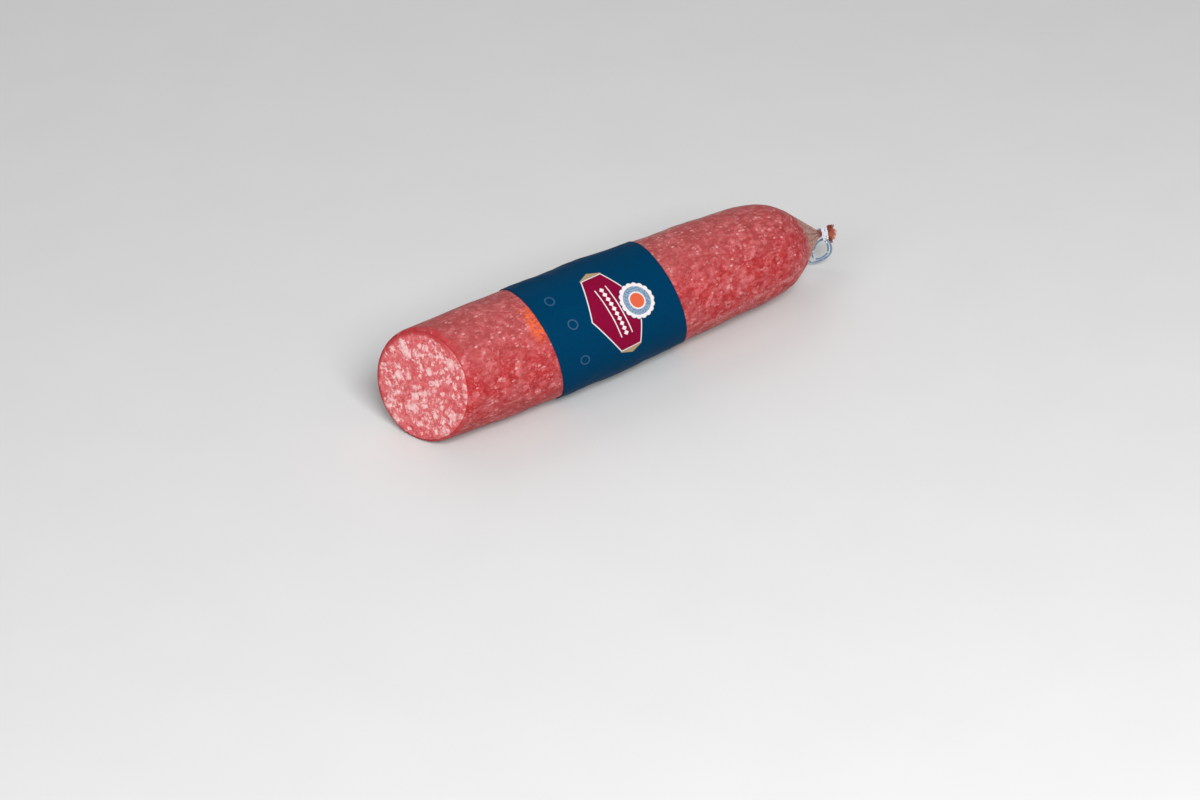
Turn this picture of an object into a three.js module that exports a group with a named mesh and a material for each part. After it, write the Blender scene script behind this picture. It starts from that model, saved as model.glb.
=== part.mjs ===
// A cured sausage lying on its side: one end cut across on a slant, the other gathered,
// bound with twine and left with a hanging loop. A printed band goes round the middle.
// Millimetres, +Z up. +X runs along the sausage from the cut end to the bound end.
import * as THREE from 'three';

// ---- Driving dimensions ----

// Where the middle of the cut face stands, so that the origin is under the middle of the part.
const CUT_X = -120;
// Height of the middle line over the surface, a little less than the radius: the underside sags flat.
const MIDDLE_HEIGHT = 28;
// Outside of the casing: [distance from the middle of the cut, radius].
const OUTLINE = [
  [0, 27.4], [28, 28.7], [60, 29.0], [95, 29.3], [135, 27.7], [168, 26.6], [192, 25.3],
  [207, 22.9], [217, 17.9], [225, 11.9], [231, 7.2], [235, 4.2], [237.5, 2.4], [239.2, 1.8], [244, 1.8],
];
// The end beyond the binding, where the gathered casing opens out again into pleats.
const TAIL = [[245.5, 2.4], [247.5, 3.7], [249.5, 4.9], [251, 5.3]];
const TAIL_PLEATS = 8;
const TAIL_PLEAT_DEPTH = 0.2;
const TAIL_HOLLOW = 1.6;
const TAIL_WIDTH_SHARE = 0.72;

// The cut face leans: how far it runs along X for each millimetre across (Y) and up (Z).
const CUT_LEAN = { across: -0.308, up: 0.24 };
// The lean fades out over this length, where the sections stand square again.
const CUT_LEAN_REACH = 52;

// The bound end droops: the middle line falls by DROOP at the neck, and ever faster towards it.
const NECK = 241.5;
const DROOP = 7;
const DROOP_START = 60;
const DROOP_SHARPNESS = 6;
// Seen from above the sausage is slightly bent: its ends stand this far back from its middle.
const BEND = 2.2;
const BEND_MIDDLE = 120;
// Moves the bent line sideways so that the whole part is centred on the origin.
const BEND_SHIFT = 0.2;

const CASING_THICKNESS = 0.6;
// Clearance between neighbouring pieces.
const GAP = 0.3;
// Share of the outline that the meat fills before it and the casing's lining close at their tips.
const MEAT_SHARE = 0.8;
const MEAT_TIP = 1.4;
const LINING_TIP = 2;

const BAND_START = 60.3;
const BAND_END = 133.8;
const BAND_THICKNESS = 0.5;
// The band sits slightly askew: how far it runs along X for each millimetre across and up.
const BAND_LEAN = { across: 0.046, up: -0.172 };
// The underside is pressed in by this much for the band, over a short step clear of its edges.
const PRESSED = GAP + BAND_THICKNESS;
const PRESS_CLEARANCE = 0.8;
const PRESS_STEP = 0.7;

const TWINE_RADIUS = 0.5;
const TWINE_WRAPS = 4;
const NECK_GAP = 0.25;

// How finely each surface is faceted.
const SIDES = 48;
const OUTSIDE_STATIONS = 30;
const INSIDE_STATIONS = 20;
const BAND_RINGS = 5;
const TWINE_SIDES = 8;
const BINDING_SIDES = 24;
const RIDGE_STEPS = 5;
const LOOP_STEPS = 46;
const BISECTIONS = 40;

// The hanging loop makes two turns below the neck. Each point is measured from the middle of
// the binding: [across, up, behind], in a plane turned by LOOP_TURN about the vertical.
const LOOP_TURN = THREE.MathUtils.degToRad(-32);
const LOOP_ROUTE = [
  [1.0, -3.4, -0.8], [2.1, -5.6, -0.9], [2.9, -8.2, -0.9], [2.7, -10.9, -0.9], [1.3, -13.2, -0.9],
  [-1.0, -14.6, -0.9], [-3.5, -14.7, -0.9], [-5.2, -13.1, -0.9], [-5.1, -10.7, -0.9],
  [-4.2, -8.2, -0.9], [-3.1, -6.1, -0.7], [-1.5, -4.8, -0.1], [0.5, -4.5, 0.7], [2.5, -5.2, 1.0],
  [4.0, -7.0, 1.0], [4.7, -9.6, 1.0], [4.5, -12.4, 1.0], [3.0, -14.9, 1.0], [0.5, -16.6, 1.0],
  [-2.4, -17.7, 1.0], [-5.2, -18.0, 1.0], [-7.4, -16.6, 1.0], [-7.6, -14.0, 1.0],
  [-6.5, -11.0, 1.0], [-5.3, -8.0, 1.1], [-3.9, -5.3, 1.3], [-2.2, -2.8, 1.5],
];

// ---- The sausage's own shape ----

// The middle line at a distance along the sausage.
function middle(along) {
  const drooping = Math.max(0, along - DROOP_START) / (NECK - DROOP_START);
  return new THREE.Vector3(
    CUT_X + along,
    BEND * ((along - BEND_MIDDLE) / BEND_MIDDLE) ** 2 - BEND_SHIFT,
    MIDDLE_HEIGHT - DROOP * drooping ** DROOP_SHARPNESS,
  );
}

// The lean of a section: the whole lean of the cut at the cut, and none from CUT_LEAN_REACH on.
function leanAt(along) {
  const left = THREE.MathUtils.smoothstep(CUT_LEAN_REACH - along, 0, CUT_LEAN_REACH);
  return { across: left * CUT_LEAN.across, up: left * CUT_LEAN.up };
}

// One section: points round the middle line, cut off flat at the floor height and leant along X.
function section({ along, radius, floor = 0, pleat = 0, widthShare = 1 }) {
  const lean = leanAt(along);
  const centre = middle(along);
  const points = [];
  for (let i = 0; i < SIDES; i += 1) {
    const angle = (2 * Math.PI * i) / SIDES;
    const reach = radius * (1 + pleat * Math.cos(TAIL_PLEATS * angle));
    const across = reach * Math.sin(angle) * widthShare;
    const up = Math.max(-reach * Math.cos(angle), floor - centre.z);
    const leant = lean.across * across + lean.up * up;
    points.push(new THREE.Vector3(leant, across, up).add(centre));
  }
  return points;
}

// A point on the middle line, which closes a skin as its pole.
function pole(along) {
  return [middle(along)];
}

const outline = new THREE.SplineCurve(OUTLINE.map(([along, radius]) => new THREE.Vector2(along, radius)));

// Stations along a share of the outline, moved inwards by a depth square to it. The first stays at the cut.
function stations(depth, share, count) {
  const found = [{ along: 0, radius: outline.getPoint(0).y - depth }];
  for (let i = 1; i <= count; i += 1) {
    const point = outline.getPoint((share * i) / count);
    const tangent = outline.getTangent((share * i) / count);
    found.push({ along: point.x + depth * tangent.y, radius: point.y - depth * tangent.x });
  }
  return found;
}

// Radius of the outline at a distance along the sausage.
function radiusAt(along) {
  let low = 0;
  let high = 1;
  for (let i = 0; i < BISECTIONS; i += 1) {
    const halfway = (low + high) / 2;
    if (outline.getPoint(halfway).x < along) low = halfway;
    else high = halfway;
  }
  return outline.getPoint(low).y;
}

// ---- Meshes ----

// A closed skin over a row of sections. A row starts and ends at a pole, or closes into a ring.
// Rows that run back along the sausage are split the same way as rows that run on, so that
// neighbouring skins lie parallel.
function skin(rows, ring = false) {
  const positions = [];
  const starts = rows.map((row) => {
    const start = positions.length / 3;
    row.forEach((point) => positions.push(point.x, point.y, point.z));
    return start;
  });
  const triangles = [];
  const pairs = ring ? rows.length : rows.length - 1;
  for (let r = 0; r < pairs; r += 1) {
    const next = (r + 1) % rows.length;
    const corner = (row, i) => starts[row] + (i % rows[row].length);
    const back = rows[next][0].x < rows[r][0].x ? 1 : 0;
    for (let i = 0; i < SIDES; i += 1) {
      if (rows[r].length > 1) triangles.push(corner(r, i), corner(r, i + 1), corner(next, i + back));
      if (rows[next].length > 1) {
        triangles.push(corner(r, i + 1 - back), corner(next, i + 1), corner(next, i));
      }
    }
  }
  const geometry = new THREE.BufferGeometry();
  geometry.setAttribute('position', new THREE.Float32BufferAttribute(positions, 3));
  geometry.setIndex(triangles);
  geometry.computeVertexNormals();
  return geometry;
}

function meatGeometry() {
  const depth = CASING_THICKNESS + GAP;
  const inside = stations(depth, MEAT_SHARE, INSIDE_STATIONS);
  const rings = inside.map((station) => section({ ...station, floor: PRESSED + depth }));
  return skin([pole(0), ...rings, pole(inside.at(-1).along + MEAT_TIP)]);
}

// The casing outside, pressed in under the band, its pleated tail, and its lining back to the cut.
function casingGeometry() {
  const bandShift = -BAND_LEAN.up * MIDDLE_HEIGHT;
  const stepStart = BAND_START + bandShift - PRESS_CLEARANCE;
  const stepEnd = BAND_END + bandShift + PRESS_CLEARANCE;
  const bandEdges = [stepStart - PRESS_STEP, stepStart, stepEnd, stepEnd + PRESS_STEP];
  const outside = [
    ...stations(0, 1, OUTSIDE_STATIONS),
    ...bandEdges.map((along) => ({ along, radius: radiusAt(along) })),
  ].sort((a, b) => a.along - b.along);
  const underBand = (along) => along >= stepStart && along <= stepEnd;
  const body = outside.map((station) => section({
    ...station,
    floor: underBand(station.along) ? PRESSED : 0,
  }));
  const tail = TAIL.map(([along, radius], i) => section({
    along,
    radius,
    pleat: (TAIL_PLEAT_DEPTH * (i + 1)) / TAIL.length,
    widthShare: 1 + ((TAIL_WIDTH_SHARE - 1) * (i + 1)) / TAIL.length,
  }));
  const inside = stations(CASING_THICKNESS, MEAT_SHARE, INSIDE_STATIONS);
  const lining = inside.map((station) => section({ ...station, floor: PRESSED + CASING_THICKNESS }));
  return skin([
    pole(inside.at(-1).along + LINING_TIP),
    ...lining.reverse(),
    ...body,
    ...tail,
    pole(TAIL.at(-1)[0] - TAIL_HOLLOW),
  ]);
}

// One ring of the band. Its lean carries each point along the sausage, where it stands clear of
// the casing by a depth.
function bandSection(along, depth, floor) {
  const reach = radiusAt(along);
  const points = [];
  for (let i = 0; i < SIDES; i += 1) {
    const angle = (2 * Math.PI * i) / SIDES;
    const leant = reach * (BAND_LEAN.across * Math.sin(angle) - BAND_LEAN.up * Math.cos(angle));
    const centre = middle(along + leant);
    const radius = radiusAt(along + leant) + depth;
    const up = Math.max(-radius * Math.cos(angle), floor - centre.z);
    points.push(new THREE.Vector3(0, radius * Math.sin(angle), up).add(centre));
  }
  return points;
}

function bandGeometry() {
  const rows = (depth, floor) => {
    const made = [];
    for (let i = 0; i <= BAND_RINGS; i += 1) {
      const along = BAND_START + ((BAND_END - BAND_START) * i) / BAND_RINGS;
      made.push(bandSection(along, depth, floor));
    }
    return made;
  };
  const outer = rows(GAP + BAND_THICKNESS, 0);
  const inner = rows(GAP, BAND_THICKNESS);
  return skin([...outer, ...inner.reverse()], true);
}

// Turns of twine side by side, as one ring with a ridge for each turn.
function bindingGeometry() {
  const inner = radiusAt(NECK) + NECK_GAP;
  const half = TWINE_WRAPS * TWINE_RADIUS;
  const profile = [];
  for (let wrap = 0; wrap < TWINE_WRAPS; wrap += 1) {
    const centre = -half + TWINE_RADIUS * (2 * wrap + 1);
    for (let i = wrap === 0 ? 0 : 1; i <= RIDGE_STEPS; i += 1) {
      const angle = Math.PI * (1 - i / RIDGE_STEPS);
      const ridge = inner + TWINE_RADIUS * (1 + Math.sin(angle));
      profile.push(new THREE.Vector2(ridge, centre + TWINE_RADIUS * Math.cos(angle)));
    }
  }
  profile.push(new THREE.Vector2(inner, half), new THREE.Vector2(inner, -half));
  profile.push(profile[0].clone());
  const geometry = new THREE.LatheGeometry(profile, BINDING_SIDES);
  geometry.rotateZ(-Math.PI / 2);
  return geometry;
}

function loopGeometry() {
  const route = new THREE.CatmullRomCurve3(LOOP_ROUTE.map(([across, up, behind]) => (
    new THREE.Vector3(across, behind, up)
  )));
  const round = new THREE.Shape();
  round.absarc(0, 0, TWINE_RADIUS, 0, 2 * Math.PI);
  return new THREE.ExtrudeGeometry(round, {
    steps: LOOP_STEPS,
    curveSegments: TWINE_SIDES / 2,
    extrudePath: route,
  });
}

// ---- Materials ----

function finish(color, roughness) {
  return new THREE.MeshStandardMaterial({ color, roughness, metalness: 0 });
}

const meatFinish = finish(0xb84a4c, 0.45);
const casingFinish = finish(0xa8564f, 0.5);
const bandFinish = finish(0x0b3a5e, 0.4);
const twineFinish = finish(0x8fa9c0, 0.85);

// ---- The part ----

const group = new THREE.Group();

function add(name, geometry, material, parent = group) {
  const mesh = new THREE.Mesh(geometry, material);
  mesh.name = name;
  parent.add(mesh);
  return mesh;
}

add('sausage_meat', meatGeometry(), meatFinish);
add('casing', casingGeometry(), casingFinish);
add('label_band', bandGeometry(), bandFinish);

const neck = new THREE.Group();
neck.position.copy(middle(NECK));
group.add(neck);
const binding = add('neck_binding', bindingGeometry(), twineFinish, neck);
const neckDirection = middle(NECK + 1).sub(middle(NECK - 1)).normalize();
binding.quaternion.setFromUnitVectors(new THREE.Vector3(1, 0, 0), neckDirection);
const loop = add('hanging_loop', loopGeometry(), twineFinish, neck);
loop.rotation.z = LOOP_TURN;

export default group;
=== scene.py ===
"""A cured sausage lying on its side, one end cut across and the other bound with twine.

Metres, +Z up. +X runs along the sausage from the cut end to the bound end, and the origin is on
the floor under its middle. A place on the sausage is two numbers: "along", the distance from the
middle of the cut, and "angle", the turn about the middle line, 0 underneath and rising on the +Y
side. Every skin below is worked out from those two on a grid.
"""

import math

import bpy
import numpy as np
from bpy.props import FloatProperty, FloatVectorProperty, IntProperty, PointerProperty
from mathutils import Matrix, Vector


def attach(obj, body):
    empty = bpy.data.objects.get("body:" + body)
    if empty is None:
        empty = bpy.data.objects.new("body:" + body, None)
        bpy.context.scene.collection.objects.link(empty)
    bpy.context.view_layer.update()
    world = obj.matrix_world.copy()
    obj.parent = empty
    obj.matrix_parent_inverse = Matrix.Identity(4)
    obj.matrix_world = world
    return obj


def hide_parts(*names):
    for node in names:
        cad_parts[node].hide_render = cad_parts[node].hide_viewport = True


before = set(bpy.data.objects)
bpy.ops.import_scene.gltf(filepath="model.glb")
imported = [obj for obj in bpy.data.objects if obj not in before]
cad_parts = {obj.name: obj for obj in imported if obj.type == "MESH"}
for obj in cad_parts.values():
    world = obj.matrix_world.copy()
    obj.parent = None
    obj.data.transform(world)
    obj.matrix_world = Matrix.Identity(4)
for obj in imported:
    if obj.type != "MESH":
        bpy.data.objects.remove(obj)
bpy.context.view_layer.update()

bl_info = {
    "name": "Cured sausage",
    "version": (1, 0, 0),
    "blender": (4, 5, 0),
    "location": "3D View > Sidebar > Sausage",
    "description": "Builds a cured sausage with a cut end, a printed band and a twine hanging loop",
    "category": "Object",
}

MM = 0.001

# ---- The sausage's own shape, as the frame has it ----

CUT_X = -120 * MM
MIDDLE_HEIGHT = 28 * MM
OUTLINE = MM * np.array([
    (0, 27.4), (28, 28.7), (60, 29.0), (95, 29.3), (135, 27.7), (168, 26.6), (192, 25.3),
    (207, 22.9), (217, 17.9), (225, 11.9), (231, 7.2), (235, 4.2), (237.5, 2.4), (239.2, 1.8),
    (244, 1.8),
])
NECK = 241.5 * MM
DROOP = 7 * MM
DROOP_START = 60 * MM
DROOP_SHARPNESS = 6
BEND = 2.2 * MM
BEND_MIDDLE = 120 * MM
BEND_SHIFT = 0.2 * MM
CUT_LEAN = (-0.308, 0.24)
CUT_LEAN_REACH = 52 * MM
MEAN_RADIUS = 28 * MM
BAND_START = 60.3 * MM
BAND_END = 133.8 * MM
BAND_LEAN = (0.046, -0.172)
BAND_RADIUS = 29 * MM
UP_AND_BACK = math.radians(120)
RIM_SEED = 5

# The band's print. A place on it is two numbers in millimetres: along the sausage, and round it
# from underneath, less than nought on the near side. One unit of the map is MAP_MM millimetres.
MAP_MM = 100.0
PANEL_PLACE = (98.7, -63.4)
PANEL_TURN = math.radians(4)
PANEL_HALF_LENGTH = 20.4
PANEL_HALF_WIDTH = 14.4
PANEL_END_WIDTH = 5.9
GABLE_HEIGHT = 3.0
ROW_HALF_LENGTH = 13.0
DIAMOND_STEP = 2.6
DIAMOND_REACH = 1.35
RULE_PLACE = 3.2
SEAL_PLACE = (111.9, -64.3)
SEAL_RADIUS = 8.6
SEAL_SCALLOPS = 9.0
RING_PLACES = ((71.4, -80.0), (75.0, -65.0), (74.0, -46.2))
RING_RADIUS = 2.3

# The hanging loop's route from the middle of the binding: across, up and behind.
LOOP_TURN = math.radians(-32)
LOOP_ROUTE = MM * np.array([
    (1.0, -3.4, -0.8), (2.1, -5.6, -0.9), (2.9, -8.2, -0.9), (2.7, -10.9, -0.9),
    (1.3, -13.2, -0.9), (-1.0, -14.6, -0.9), (-3.5, -14.7, -0.9), (-5.2, -13.1, -0.9),
    (-5.1, -10.7, -0.9), (-4.2, -8.2, -0.9), (-3.1, -6.1, -0.7), (-1.5, -4.8, -0.1),
    (0.5, -4.5, 0.7), (2.5, -5.2, 1.0), (4.0, -7.0, 1.0), (4.7, -9.6, 1.0), (4.5, -12.4, 1.0),
    (3.0, -14.9, 1.0), (0.5, -16.6, 1.0), (-2.4, -17.7, 1.0), (-5.2, -18.0, 1.0),
    (-7.4, -16.6, 1.0), (-7.6, -14.0, 1.0), (-6.5, -11.0, 1.0), (-5.3, -8.0, 1.1),
    (-3.9, -5.3, 1.3), (-2.2, -2.8, 1.5),
])
LOOP_STATIONS = 420


def smooth_step(value, low, high):
    """0 below low and 1 above high, with a smooth S curve between them."""
    t = np.clip((value - low) / (high - low), 0, 1)
    return t * t * (3 - 2 * t)


def outline_curve(points, count):
    """The outline as a uniform Catmull-Rom curve: a cubic between each pair of points, whose slope
    at a point is half the step between that point's two neighbours."""
    place = np.linspace(0, len(points) - 1, count)
    first = np.minimum(place.astype(int), len(points) - 2)
    t = (place - first)[:, None]
    before, start, end, after = (
        points[np.clip(first + step, 0, len(points) - 1)] for step in (-1, 0, 1, 2)
    )
    slope_in, slope_out = (end - before) / 2, (after - start) / 2
    return (
        start
        + slope_in * t
        + (3 * (end - start) - 2 * slope_in - slope_out) * t**2
        + (2 * (start - end) + slope_in + slope_out) * t**3
    )


OUTLINE_CURVE = outline_curve(OUTLINE, 4000)


def outline_radius(along):
    """The casing's radius at a distance along, read off the outline curve."""
    return np.interp(along, OUTLINE_CURVE[:, 0], OUTLINE_CURVE[:, 1])


def middle_line(along):
    """The middle line: straight along X, bowed sideways by a square law from its middle, and
    falling by a sixth power towards the neck."""
    fall = np.maximum(0, along - DROOP_START) / (NECK - DROOP_START)
    return (
        CUT_X + along,
        BEND * ((along - BEND_MIDDLE) / BEND_MIDDLE) ** 2 - BEND_SHIFT,
        MIDDLE_HEIGHT - DROOP * fall**DROOP_SHARPNESS,
    )


def log_points(along, angle, radius, floor=0.0, lean=None):
    """Points round the middle line: across is radius times sin(angle), up is minus radius times
    cos(angle), eased off above the floor by a soft maximum, and both push the point along X by the
    section's lean. Everything broadcasts, so a column of alongs and a row of angles make a grid."""
    x, y, z = middle_line(along)
    across = radius * np.sin(angle)
    up = -radius * np.cos(angle)
    lowest = floor - z
    soft = 0.35 * MM
    up = lowest + soft * np.logaddexp(0, (up - lowest) / soft)
    if lean is None:
        left = smooth_step(CUT_LEAN_REACH - along, 0, CUT_LEAN_REACH)
        lean = (left * CUT_LEAN[0], left * CUT_LEAN[1])
    place = (x + lean[0] * across + lean[1] * up, y + across, z + up)
    return np.stack(np.broadcast_arrays(*place), axis=-1)


def ripples(along, angle, seed, waves, length, height):
    """Gentle lumps: a sum of plane waves over the unrolled skin, each with its own direction and
    phase and a whole number of turns round the sausage, so that the skin still meets itself."""
    dice = np.random.default_rng(seed)
    total = np.zeros(np.broadcast_shapes(along.shape, angle.shape))
    for _ in range(waves):
        heading = dice.uniform(0, math.pi)
        turns = round(2 * math.pi * MEAN_RADIUS / length * math.sin(heading))
        rate = 2 * math.pi / length * math.cos(heading)
        total += np.sin(turns * angle + rate * along + dice.uniform(0, 2 * math.pi))
    return total * height / math.sqrt(waves / 2)


def skin_radius(along, angle, lump_height):
    """The radius of the lumpy skin: the outline's, with long and short lumps that die away at both
    ends, where the cut's edge and the pleats take over."""
    calm = smooth_step(along, 0, 14 * MM) * smooth_step(-along, -205 * MM, -185 * MM)
    long_lumps = ripples(along, angle, 3, 14, 30 * MM, lump_height)
    short_lumps = ripples(along, angle, 8, 12, 9 * MM, lump_height * 0.4)
    swell = 0.45 * MM * np.exp(-((along / (9 * MM)) ** 2))
    return outline_radius(along) + calm * (long_lumps + short_lumps) + swell


def lip_drop(along, roundness):
    """How much the skin draws in where it is rounded over at the cut: part of a circle."""
    edge = np.clip(1 - along / roundness, 0, 1)
    return 0.5 * roundness * (1 - np.sqrt(1 - 0.9999 * edge**2))


def creases(along, angle):
    """Long folds low on the near side: each is a narrow furrow with a ridge beside it, that
    fades in and out along its length and wanders a little in angle."""
    total = 0.0
    for start, end, at, drift, depth, width in (
        (134, 236, -62, -22, 0.32, 1.3),
        (150, 232, -46, -22, 0.22, 1.1),
        (186, 236, -104, -10, 0.25, 1.6),
        (196, 238, -150, 12, 0.25, 1.8),
    ):
        share = np.clip((along / MM - start) / (end - start), 0, 1)
        place = np.radians(at + drift * share + 2.5 * np.sin(9 * share))
        off = np.angle(np.exp(1j * (angle - place))) * outline_radius(along) / MM
        strength = np.sin(math.pi * share) ** 0.7 * depth * MM
        furrow = -np.exp(-((off / width) ** 2))
        ridge = 0.8 * np.exp(-(((off + 1.9 * width) / (1.3 * width)) ** 2))
        total = total + strength * (furrow + ridge)
    return total


# The rows in which the casing's lining and the meat's side run back from the cut together.
SIDE_ROWS = MM * np.concatenate([
    np.linspace(0, 4, 12, endpoint=False),
    np.linspace(4, 40, 14, endpoint=False),
    np.linspace(40, 205, 44),
])


# ---- Meshes ----


def ring_faces(rows, columns):
    """Quads between neighbouring rows of a grid whose columns run round and meet."""
    row = np.arange(rows - 1)[:, None]
    column = np.arange(columns)[None, :]
    after, beside = row + 1, (column + 1) % columns
    corners = (
        row * columns + column,
        row * columns + beside,
        after * columns + beside,
        after * columns + column,
    )
    return np.stack(np.broadcast_arrays(*corners), axis=-1).reshape(-1, 4)


def fan_faces(pole, start, columns, flip=False):
    """Triangles from a pole to a row of points that runs round it."""
    column = np.arange(columns)
    here, beside = start + column, start + (column + 1) % columns
    if flip:
        here, beside = beside, here
    return np.stack([np.full(columns, pole), here, beside], axis=-1)


def new_piece(name, points, faces, material, uv=None, values=None):
    """One mesh object from numpy points and faces. uv is one (u, v) for each point and goes on
    every corner that uses it; values are named numbers, one for each point."""
    mesh = bpy.data.meshes.new(name)
    mesh.from_pydata(points.reshape(-1, 3), [], [tuple(f) for group in faces for f in group.tolist()])
    mesh.polygons.foreach_set("use_smooth", np.ones(len(mesh.polygons), dtype=bool))
    corner = np.empty(len(mesh.loops), dtype=np.int32)
    mesh.loops.foreach_get("vertex_index", corner)
    if uv is not None:
        layer = mesh.uv_layers.new(name="Surface")
        layer.uv.foreach_set("vector", uv.reshape(-1, 2)[corner].astype(np.float32).ravel())
    for key, number in (values or {}).items():
        attribute = mesh.attributes.new(key, "FLOAT", "POINT")
        attribute.data.foreach_set("value", number.astype(np.float32).ravel())
    mesh.update()
    mesh.validate()
    mesh.materials.append(material)
    piece = bpy.data.objects.new(name, mesh)
    bpy.context.scene.collection.objects.link(piece)
    return piece


def place_piece(piece, node):
    """Ties a finished piece to the frame: it rides on the body, and the imported part that it
    stands for is hidden."""
    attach(piece, "root")
    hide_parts(node)


# ---- Shader building blocks ----


def add_node(tree, kind, inputs=None, **settings):
    """One node. A value given for a socket is a plain value, or another node's output to link."""
    made = tree.nodes.new(kind)
    for key, value in settings.items():
        setattr(made, key, value)
    for key, value in (inputs or {}).items():
        if isinstance(value, bpy.types.NodeSocket):
            tree.links.new(value, made.inputs[key])
        else:
            made.inputs[key].default_value = value
    return made


def maths(tree, operation, first, second=0.0, third=0.0):
    """The value of one Math node."""
    made = add_node(tree, "ShaderNodeMath", {0: first, 1: second, 2: third}, operation=operation)
    return made.outputs["Value"]


def times(tree, first, second):
    """One value times another."""
    return maths(tree, "MULTIPLY", first, second)


def times_plus(tree, first, second, third):
    """The first value times the second, plus the third."""
    return maths(tree, "MULTIPLY_ADD", first, second, third)


def minus(tree, first, second):
    """One value less another."""
    return maths(tree, "SUBTRACT", first, second)


def size_of(tree, value):
    """A value without its sign."""
    return maths(tree, "ABSOLUTE", value)


def vector_maths(tree, operation, first, second, third=(0.0, 0.0, 0.0)):
    """The vector of one Vector Math node."""
    made = add_node(tree, "ShaderNodeVectorMath", {0: first, 1: second, 2: third},
                    operation=operation)
    return made.outputs["Vector"]


def point_value(tree, name):
    """One of the numbers that the piece's points carry."""
    return add_node(tree, "ShaderNodeAttribute", attribute_name=name).outputs["Fac"]


def fade(tree, value, low, high, start=0.0, end=1.0):
    """A smooth change from start to end as value goes from low to high."""
    sockets = {"Value": value, "From Min": low, "From Max": high, "To Min": start, "To Max": end}
    made = add_node(tree, "ShaderNodeMapRange", sockets, interpolation_type="SMOOTHSTEP")
    return made.outputs["Result"]


def blend(tree, share, first, second, mode="MIX"):
    """Two colours mixed by a share."""
    made = add_node(tree, "ShaderNodeMix", data_type="RGBA", blend_type=mode)
    for index, value in ((0, share), (6, first), (7, second)):
        if isinstance(value, bpy.types.NodeSocket):
            tree.links.new(value, made.inputs[index])
        elif index == 0:
            made.inputs[index].default_value = value
        else:
            made.inputs[index].default_value = (*value, 1.0)[:4]
    return made.outputs[2]


def noise(tree, vector, scale, detail=2.0, roughness=0.5, output="Fac"):
    """Fractal noise read at a vector."""
    sockets = {"Vector": vector, "Scale": scale, "Detail": detail, "Roughness": roughness}
    return add_node(tree, "ShaderNodeTexNoise", sockets).outputs[output]


def in_millimetres(tree):
    """Object coordinates in millimetres, for the patterns in the stuff itself."""
    place = add_node(tree, "ShaderNodeTexCoord").outputs["Object"]
    scaled = add_node(tree, "ShaderNodeVectorMath", {0: place, "Scale": 1 / MM}, operation="SCALE")
    return scaled.outputs["Vector"]


def new_group(name, inputs, outputs):
    """An empty node group with its sockets, and its input and output nodes."""
    tree = bpy.data.node_groups.new(name, "ShaderNodeTree")
    for label, kind, default in inputs:
        socket = tree.interface.new_socket(label, in_out="INPUT", socket_type=kind)
        if default is not None:
            socket.default_value = default
    for label, kind in outputs:
        tree.interface.new_socket(label, in_out="OUTPUT", socket_type=kind)
    return tree, tree.nodes.new("NodeGroupInput"), tree.nodes.new("NodeGroupOutput")


def use_group(tree, group, inputs):
    """A node group placed in a material with its own values."""
    made = tree.nodes.new("ShaderNodeGroup")
    made.node_tree = group
    for key, value in inputs.items():
        if isinstance(value, bpy.types.NodeSocket):
            tree.links.new(value, made.inputs[key])
        else:
            made.inputs[key].default_value = value
    return made.outputs


def minced_group():
    """Minced meat and fat: warped round cells in two sizes, of which only a share are fat, each with
    an uneven edge and more of them in some places than in others, and a slow change of tone in the
    lean between them."""
    name = "Minced meat"
    if name in bpy.data.node_groups:
        return bpy.data.node_groups[name]
    tree, given, result = new_group(
        name,
        [("Vector", "NodeSocketVector", None), ("Share", "NodeSocketFloat", 0.45),
         ("Softness", "NodeSocketFloat", 0.1)],
        [("Fat", "NodeSocketFloat"), ("Lean Tone", "NodeSocketFloat")],
    )
    place = given.outputs["Vector"]
    drift = noise(tree, place, 0.42, 2.0, output="Color")
    centred = vector_maths(tree, "SUBTRACT", drift, (0.5, 0.5, 0.5))
    moved = vector_maths(tree, "MULTIPLY_ADD", centred, (5.0, 5.0, 5.0), place)
    fray = minus(tree, noise(tree, place, 1.6, 3.0, 0.6), 0.5)
    clump = fade(tree, noise(tree, place, 0.13, 2.0, 0.5), 0.36, 0.64, 0.45, 1.45)
    share = times(tree, clump, given.outputs["Share"])
    bits = []
    for size, reach in ((4.2, 0.62), (2.1, 0.66)):
        cells = add_node(tree, "ShaderNodeTexVoronoi", {"Vector": moved, "Scale": 1 / size})
        dice = add_node(tree, "ShaderNodeSeparateColor", {"Color": cells.outputs["Color"]})
        edge = times_plus(tree, fray, 0.55, cells.outputs["Distance"])
        radius = times(tree, dice.outputs["Green"], reach)
        inside = minus(tree, radius, edge)
        soft = given.outputs["Softness"]
        low = times(tree, soft, -1.0)
        shape = fade(tree, inside, low, soft)
        chosen = maths(tree, "LESS_THAN", dice.outputs["Red"], share)
        bits.append(times(tree, shape, chosen))
    fat = maths(tree, "MAXIMUM", *bits)
    tree.links.new(fat, result.inputs["Fat"])
    tone = noise(tree, place, 0.3, 5.0, 0.62)
    tree.links.new(tone, result.inputs["Lean Tone"])
    return tree


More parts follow.
